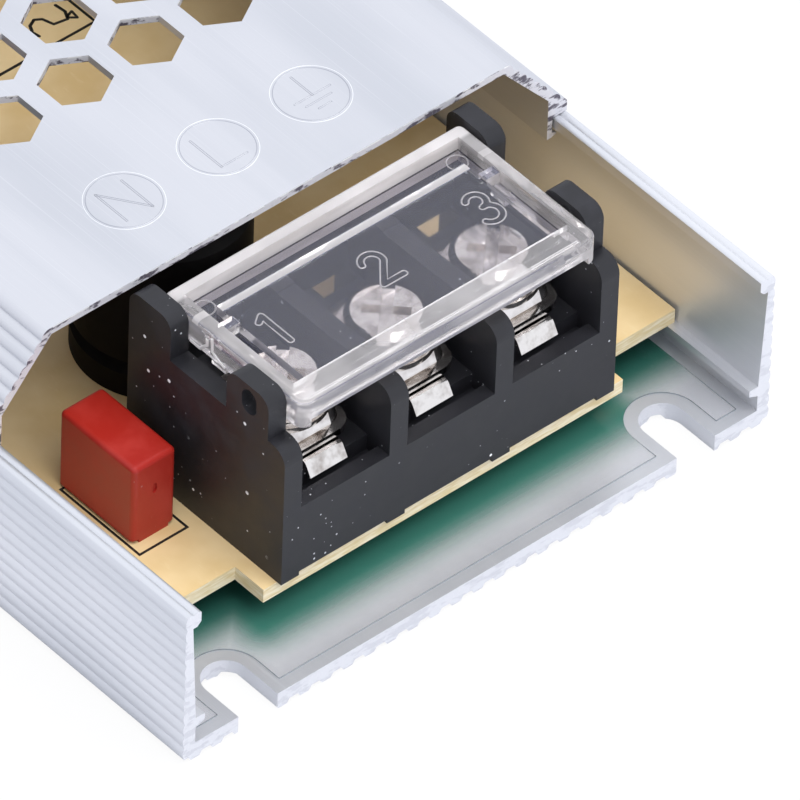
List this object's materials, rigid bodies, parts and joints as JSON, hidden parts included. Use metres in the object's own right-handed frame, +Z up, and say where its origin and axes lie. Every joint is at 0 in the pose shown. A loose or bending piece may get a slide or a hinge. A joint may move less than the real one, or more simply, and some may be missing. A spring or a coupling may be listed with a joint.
{
  "type": "slim led driver",
  "caption": "Slim LED driver: ribbed aluminium channel, vented slide-on cover with hexagonal holes, circuit board, and screw terminals under clear hinged lids at both ends.",
  "frame": {"origin": "middle of the case's underside, at the crests of the floor's ribs", "axes": "+Z up, Y along the case with the mains terminals at -Y and the output terminals at +Y, X across the case"},
  "size_m": [0.053, 0.16, 0.0212],
  "materials": {
    "extruded_aluminium": "bright satin extrusion with fine die lines",
    "clear_film": "clear thin film",
    "board": "tan laminate with black print, green under",
    "fuse_red": "red moulded plastic",
    "component_black": "black moulding",
    "disc_green": "dark green dipped coating",
    "disc_blue": "blue dipped coating",
    "sleeve_black": "shrink sleeve",
    "ferrite": "dark ferrite",
    "copper_wire": "enamelled copper",
    "tape_yellow": "yellow insulating tape",
    "solder": "solder",
    "terminal_black": "black moulded plastic",
    "lid_clear": "clear moulded plastic",
    "plated_steel": "nickel plated steel"
  },
  "bodies": {
    "housing": {"base_channel": "extruded_aluminium", "top_cover": "extruded_aluminium", "insulating_film": "clear_film", "circuit_board": "board", "fuse": "fuse_red", "suppression_capacitor": "component_black", "inrush_limiter": "disc_green", "safety_capacitor": "disc_blue", "bulk_capacitor": "sleeve_black", "line_choke_core": "ferrite", "line_choke_windings": "copper_wire", "output_choke_core": "ferrite", "output_choke_windings": "copper_wire", "bridge_rectifier": "component_black", "transformer_core": "ferrite", "transformer_winding": "tape_yellow", "power_transistor": "component_black", "output_rectifier": "component_black", "output_capacitor_1": "sleeve_black", "output_capacitor_2": "sleeve_black", "controller_chip": "component_black", "optocoupler": "component_black", "solder_joints": "solder", "ac_terminal_body": "terminal_black", "ac_contact_1": "plated_steel", "ac_contact_2": "plated_steel", "ac_contact_3": "plated_steel", "dc_terminal_body": "terminal_black", "dc_contact_1": "plated_steel", "dc_contact_2": "plated_steel"},
    "ac_lid": {"ac_terminal_lid": "lid_clear"},
    "ac_clamp_set_1": {"ac_clamp_1": "plated_steel", "ac_washer_1": "plated_steel"},
    "ac_screw_set_1": {"ac_screw_1": "plated_steel"},
    "ac_clamp_set_2": {"ac_clamp_2": "plated_steel", "ac_washer_2": "plated_steel"},
    "ac_screw_set_2": {"ac_screw_2": "plated_steel"},
    "ac_clamp_set_3": {"ac_clamp_3": "plated_steel", "ac_washer_3": "plated_steel"},
    "ac_screw_set_3": {"ac_screw_3": "plated_steel"},
    "dc_lid": {"dc_terminal_lid": "lid_clear"},
    "dc_clamp_set_1": {"dc_clamp_1": "plated_steel", "dc_washer_1": "plated_steel"},
    "dc_screw_set_1": {"dc_screw_1": "plated_steel"},
    "dc_clamp_set_2": {"dc_clamp_2": "plated_steel", "dc_washer_2": "plated_steel"},
    "dc_screw_set_2": {"dc_screw_2": "plated_steel"}
  },
  "joints": [
    {"name": "ac_lid_hinge", "type": "hinge", "parent": "housing", "child": "ac_lid", "pos_m": [0.0016, -0.061, 0.0189], "axis": [-1, 0, 0], "range_deg": [0, 95]},
    {"name": "ac_clamp_1_lift", "type": "slide", "parent": "housing", "child": "ac_clamp_set_1", "axis": [0, 0, 1], "range_m": [0, 0.002]},
    {"name": "ac_screw_1_turn", "type": "hinge", "parent": "ac_clamp_set_1", "child": "ac_screw_set_1", "pos_m": [-0.0079, -0.068, 0.014], "axis": [0, 0, 1], "range_deg": [0, 1440]},
    {"name": "ac_clamp_2_lift", "type": "slide", "parent": "housing", "child": "ac_clamp_set_2", "axis": [0, 0, 1], "range_m": [0, 0.002]},
    {"name": "ac_screw_2_turn", "type": "hinge", "parent": "ac_clamp_set_2", "child": "ac_screw_set_2", "pos_m": [0.0016, -0.068, 0.014], "axis": [0, 0, 1], "range_deg": [0, 1440]},
    {"name": "ac_clamp_3_lift", "type": "slide", "parent": "housing", "child": "ac_clamp_set_3", "axis": [0, 0, 1], "range_m": [0, 0.002]},
    {"name": "ac_screw_3_turn", "type": "hinge", "parent": "ac_clamp_set_3", "child": "ac_screw_set_3", "pos_m": [0.0111, -0.068, 0.014], "axis": [0, 0, 1], "range_deg": [0, 1440]},
    {"name": "dc_lid_hinge", "type": "hinge", "parent": "housing", "child": "dc_lid", "pos_m": [0, 0.061, 0.0189], "axis": [1, 0, 0], "range_deg": [0, 95]},
    {"name": "dc_clamp_1_lift", "type": "slide", "parent": "housing", "child": "dc_clamp_set_1", "axis": [0, 0, 1], "range_m": [0, 0.002]},
    {"name": "dc_screw_1_turn", "type": "hinge", "parent": "dc_clamp_set_1", "child": "dc_screw_set_1", "pos_m": [-0.00475, 0.068, 0.014], "axis": [0, 0, 1], "range_deg": [0, 1440]},
    {"name": "dc_clamp_2_lift", "type": "slide", "parent": "housing", "child": "dc_clamp_set_2", "axis": [0, 0, 1], "range_m": [0, 0.002]},
    {"name": "dc_screw_2_turn", "type": "hinge", "parent": "dc_clamp_set_2", "child": "dc_screw_set_2", "pos_m": [0.00475, 0.068, 0.014], "axis": [0, 0, 1], "range_deg": [0, 1440]}
  ],
  "couplings": [
    {"joint": "ac_screw_1_turn", "follows": "ac_clamp_1_lift", "rad_per_m": 12566},
    {"joint": "ac_screw_2_turn", "follows": "ac_clamp_2_lift", "rad_per_m": 12566},
    {"joint": "ac_screw_3_turn", "follows": "ac_clamp_3_lift", "rad_per_m": 12566},
    {"joint": "dc_screw_1_turn", "follows": "dc_clamp_1_lift", "rad_per_m": 12566},
    {"joint": "dc_screw_2_turn", "follows": "dc_clamp_2_lift", "rad_per_m": 12566}
  ]
}
